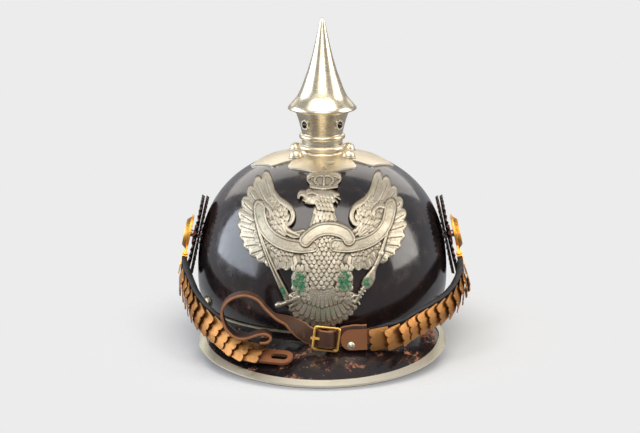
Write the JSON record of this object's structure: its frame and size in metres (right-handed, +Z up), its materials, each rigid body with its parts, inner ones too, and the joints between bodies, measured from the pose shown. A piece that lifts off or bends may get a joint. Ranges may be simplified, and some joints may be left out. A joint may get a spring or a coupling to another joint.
{
  "type": "spiked parade helmet",
  "caption": "Leather parade helmet with a spike on a cross-shaped base, an eagle front plate, two peaks, fluted cockades and a brass scale chin chain with a buckled strap.",
  "frame": {"origin": "middle of the helmet's footprint, on the surface it stands on", "axes": "+Z up along the spike, -Y towards the front peak and plate, +X towards the viewer's right seen from the front"},
  "size_m": [0.2094, 0.3004, 0.2306],
  "materials": {
    "black_leather": "polished and cracked",
    "strap_black_leather": "dull, worn at the edges",
    "brown_leather": "dull, worn",
    "nickel_silver": "polished nickel silver with light tarnish",
    "aged_nickel": "pressed nickel silver with green tarnish in the hollows",
    "aged_brass": "aged, darker in the hollows",
    "cockade_paint": "worn dark red and black paint",
    "red_leather": "dull",
    "plain_steel": "plain, dull",
    "lace_cord": "plain woven"
  },
  "bodies": {
    "helmet": {"skull": "black_leather", "front_visor": "black_leather", "rear_visor": "black_leather", "front_visor_trim": "nickel_silver", "visor_band": "nickel_silver", "side_studs": "nickel_silver", "rear_spine": "nickel_silver", "spine_studs": "nickel_silver", "spike_base": "nickel_silver", "base_studs": "nickel_silver", "base_stud_nuts": "plain_steel", "base_rivet": "nickel_silver", "cockade_inner_left": "cockade_paint", "cockade_inner_right": "cockade_paint", "cockade_outer_left": "cockade_paint", "cockade_outer_right": "cockade_paint", "ear_washer_left": "red_leather", "ear_washer_right": "red_leather", "ear_post_left": "plain_steel", "ear_post_right": "plain_steel", "ear_post_nuts": "plain_steel", "sweatband": "brown_leather", "liner_tongues": "brown_leather", "liner_lace": "lace_cord", "front_plate": "aged_nickel", "plate_screws": "plain_steel", "plate_nuts": "plain_steel"},
    "spike": {"spike_cone": "nickel_silver", "spike_neck": "nickel_silver", "spike_stem": "plain_steel"},
    "chin_chain": {"rosette_left": "aged_brass", "rosette_right": "aged_brass", "hinge_pins": "aged_brass", "hinge_leaf_left": "aged_brass", "hinge_leaf_right": "aged_brass", "scale_backing_left": "strap_black_leather", "scale_backing_right": "strap_black_leather", "chin_scales_left": "aged_brass", "chin_scales_right": "aged_brass", "slotted_end_tab": "brown_leather", "buckle_chape": "brown_leather", "buckle_flap": "brown_leather", "chape_rivet": "aged_brass", "chin_strap": "brown_leather"},
    "buckle_frame": {"buckle_frame": "aged_brass"},
    "buckle_prong": {"buckle_prong": "aged_brass"}
  },
  "joints": [
    {"name": "spike_unscrew", "type": "slide", "parent": "helmet", "child": "spike", "axis": [0, 0, 1], "range_m": [0, 0.02]},
    {"name": "chin_chain_swing", "type": "hinge", "parent": "helmet", "child": "chin_chain", "pos_m": [0, -0.002, 0.0737], "axis": [-1, 0, 0], "range_deg": [0, 45]},
    {"name": "buckle_frame_tilt", "type": "hinge", "parent": "chin_chain", "child": "buckle_frame", "pos_m": [0.00265, -0.12096, 0.02783], "axis": [0.1235, 0.1218, 0.9848], "range_deg": [-2, 2]},
    {"name": "buckle_prong_lift", "type": "hinge", "parent": "buckle_frame", "child": "buckle_prong", "pos_m": [0.00265, -0.12096, 0.02783], "axis": [0.1235, 0.1218, 0.9848], "range_deg": [0, 20]}
  ]
}
